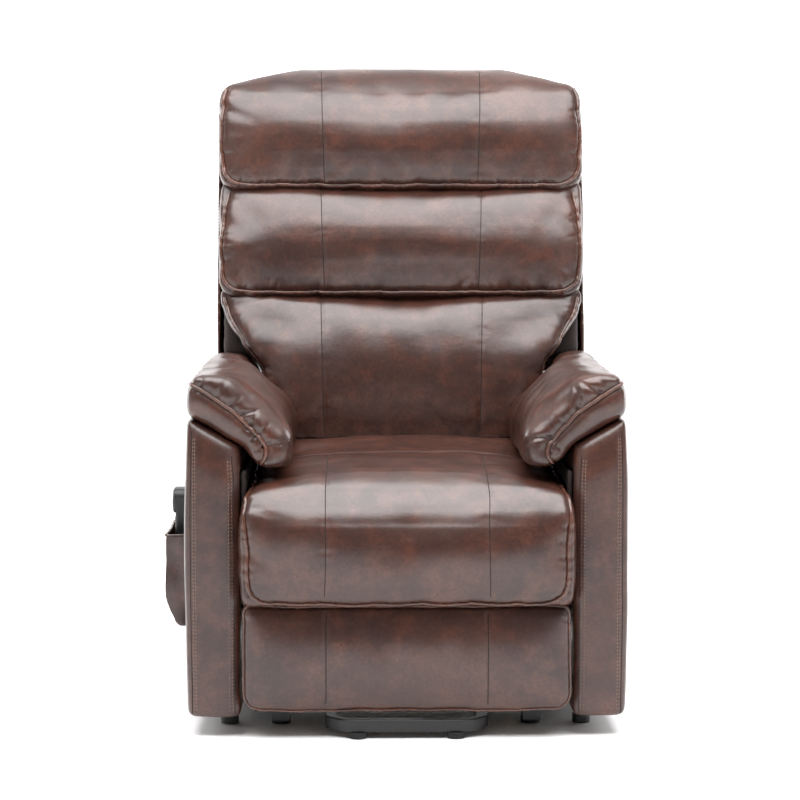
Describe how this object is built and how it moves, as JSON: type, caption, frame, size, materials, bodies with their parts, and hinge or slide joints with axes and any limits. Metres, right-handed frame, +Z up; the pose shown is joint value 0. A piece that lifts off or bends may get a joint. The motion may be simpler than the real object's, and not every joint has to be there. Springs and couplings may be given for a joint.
{
  "type": "lift recliner chair",
  "caption": "Leather power lift recliner: T-shaped three-cushion back, rolled arm pads, swing-up footrest and a tilting steel lift base.",
  "frame": {"origin": "on the floor midway between the arms, 400 mm behind the arms' front faces", "axes": "+Z up, the sitter faces -Y, +X is the sitter's left"},
  "size_m": [0.7629, 0.8499, 1.1361],
  "materials": {
    "leather": "satin",
    "steel_black": "satin",
    "zinc_steel": "satin",
    "chrome_rod": "polished",
    "spring_steel": "satin",
    "plywood": "matte",
    "plastic_black": "matte",
    "button_plastic": "matte",
    "webbing": "matte",
    "rubber": "matte"
  },
  "bodies": {
    "base": {"base_frame": "steel_black", "front_foot_bar": "steel_black", "base_feet": "rubber", "rail_end_caps": "plastic_black", "base_link_brackets": "steel_black", "base_pivot_bolts": "zinc_steel"},
    "rear_lift_arm": {"rear_lift_arm_left": "steel_black", "rear_lift_arm_right": "steel_black", "lift_torque_tube": "steel_black"},
    "front_lift_link": {"front_lift_link_left": "steel_black", "front_lift_link_right": "steel_black"},
    "lift_motor": {"lift_motor": "plastic_black", "lift_actuator_tube": "steel_black"},
    "lift_rod": {"lift_actuator_rod": "chrome_rod"},
    "chair": {"mechanism_side_plate_left": "steel_black", "mechanism_side_plate_right": "steel_black", "mechanism_cross_tubes": "steel_black", "chair_pivot_bolts": "zinc_steel", "seat_frame": "plywood", "seat_springs": "spring_steel", "seat_cushion": "leather", "arm_frame_left": "plywood", "arm_frame_right": "plywood", "arm_cover_left": "leather", "arm_cover_right": "leather", "arm_pad_left": "leather", "arm_pad_right": "leather", "side_pocket": "leather", "arm_feet": "plastic_black", "frame_bolts": "zinc_steel", "control_box": "plastic_black", "power_inlet": "plastic_black", "recline_hinge_brackets": "steel_black", "recline_hinge_pins": "zinc_steel", "footrest_pivot_pins": "zinc_steel"},
    "back": {"back_frame": "plywood", "back_webbing": "webbing", "back_hinge_brackets": "steel_black", "back_lever": "steel_black", "lumbar_cushion": "leather", "middle_cushion": "leather", "head_cushion": "leather", "back_cover": "leather", "back_border": "leather"},
    "back_motor": {"back_motor": "plastic_black", "back_actuator_tube": "steel_black"},
    "back_rod": {"back_actuator_rod": "chrome_rod"},
    "footrest_drive": {"footrest_drive_links": "steel_black", "drive_link_pins": "zinc_steel", "footrest_torque_tube": "steel_black"},
    "footrest_crank": {"footrest_front_links": "steel_black"},
    "footrest_link": {"footrest_long_links": "steel_black"},
    "footrest_control": {"footrest_control_links": "steel_black"},
    "footrest": {"footrest_board": "plywood", "footrest_pad": "leather", "footrest_brackets": "steel_black", "bracket_pins": "zinc_steel"},
    "handset": {"handset_body": "plastic_black"},
    "up_button": {"up_button": "button_plastic"},
    "down_button": {"down_button": "button_plastic"}
  },
  "joints": [
    {"name": "lift", "type": "hinge", "parent": "base", "child": "rear_lift_arm", "pos_m": [0, -0.18, 0.1], "axis": [1, 0, 0], "range_deg": [0, 54]},
    {"name": "chair_tilt", "type": "hinge", "parent": "rear_lift_arm", "child": "chair", "pos_m": [0, 0.19, 0.1], "axis": [1, 0, 0], "range_deg": [-28.9, 0]},
    {"name": "front_link_turn", "type": "hinge", "parent": "base", "child": "front_lift_link", "pos_m": [0, -0.24, 0.08], "axis": [1, 0, 0], "range_deg": [0, 62.6]},
    {"name": "lift_motor_swing", "type": "hinge", "parent": "base", "child": "lift_motor", "pos_m": [0, 0.248, 0.064], "axis": [1, 0, 0], "range_deg": [-0.8, 0]},
    {"name": "lift_rod_slide", "type": "slide", "parent": "lift_motor", "child": "lift_rod", "axis": [0, -0.9785, 0.2063], "range_m": [0, 0.0546]},
    {"name": "recline", "type": "hinge", "parent": "chair", "child": "back", "pos_m": [0, 0.12, 0.34], "axis": [-1, 0, 0], "range_deg": [0, 42]},
    {"name": "back_motor_swing", "type": "hinge", "parent": "chair", "child": "back_motor", "pos_m": [0, -0.16, 0.118], "axis": [1, 0, 0], "range_deg": [0, 3.1]},
    {"name": "back_rod_slide", "type": "slide", "parent": "back_motor", "child": "back_rod", "axis": [0, 0.938, 0.3468], "range_m": [-0.0782, 0]},
    {"name": "footrest", "type": "hinge", "parent": "chair", "child": "footrest_drive", "pos_m": [0, -0.23, 0.178], "axis": [-1, 0, 0], "range_deg": [0, 120]},
    {"name": "footrest_crank_turn", "type": "hinge", "parent": "chair", "child": "footrest_crank", "pos_m": [0, -0.253, 0.194], "axis": [-1, 0, 0], "range_deg": [0, 120]},
    {"name": "footrest_link_turn", "type": "hinge", "parent": "footrest_drive", "child": "footrest_link", "pos_m": [0, -0.175, 0.06], "axis": [-1, 0, 0], "range_deg": [-120, 0]},
    {"name": "footrest_control_turn", "type": "hinge", "parent": "footrest_drive", "child": "footrest_control", "pos_m": [0, -0.157, 0.069], "axis": [-1, 0, 0], "range_deg": [-124, 0]},
    {"name": "footrest_board_turn", "type": "hinge", "parent": "footrest_link", "child": "footrest", "pos_m": [0, -0.366, 0.185], "axis": [-1, 0, 0], "range_deg": [0, 90.1]},
    {"name": "handset_lift", "type": "slide", "parent": "chair", "child": "handset", "axis": [0, 0, 1], "range_m": [0, 0.16]},
    {"name": "up_press", "type": "slide", "parent": "handset", "child": "up_button", "axis": [1, 0, 0], "range_m": [0, 0.0012], "stiffness_N_per_m": 600},
    {"name": "down_press", "type": "slide", "parent": "handset", "child": "down_button", "axis": [1, 0, 0], "range_m": [0, 0.0012], "stiffness_N_per_m": 600}
  ],
  "couplings": [
    {"joint": "chair_tilt", "follows": "lift", "ratio": -0.53346},
    {"joint": "front_link_turn", "follows": "lift", "ratio": 1.1582},
    {"joint": "lift_motor_swing", "follows": "lift", "ratio": -0.013959},
    {"joint": "lift_rod_slide", "follows": "lift", "m_per_rad": 0.05781},
    {"joint": "back_motor_swing", "follows": "recline", "ratio": 0.072984},
    {"joint": "back_rod_slide", "follows": "recline", "m_per_rad": -0.1065},
    {"joint": "footrest_crank_turn", "follows": "footrest", "ratio": 1},
    {"joint": "footrest_link_turn", "follows": "footrest", "ratio": -1},
    {"joint": "footrest_control_turn", "follows": "footrest", "ratio": -1.0292},
    {"joint": "footrest_board_turn", "follows": "footrest", "ratio": 0.75}
  ]
}
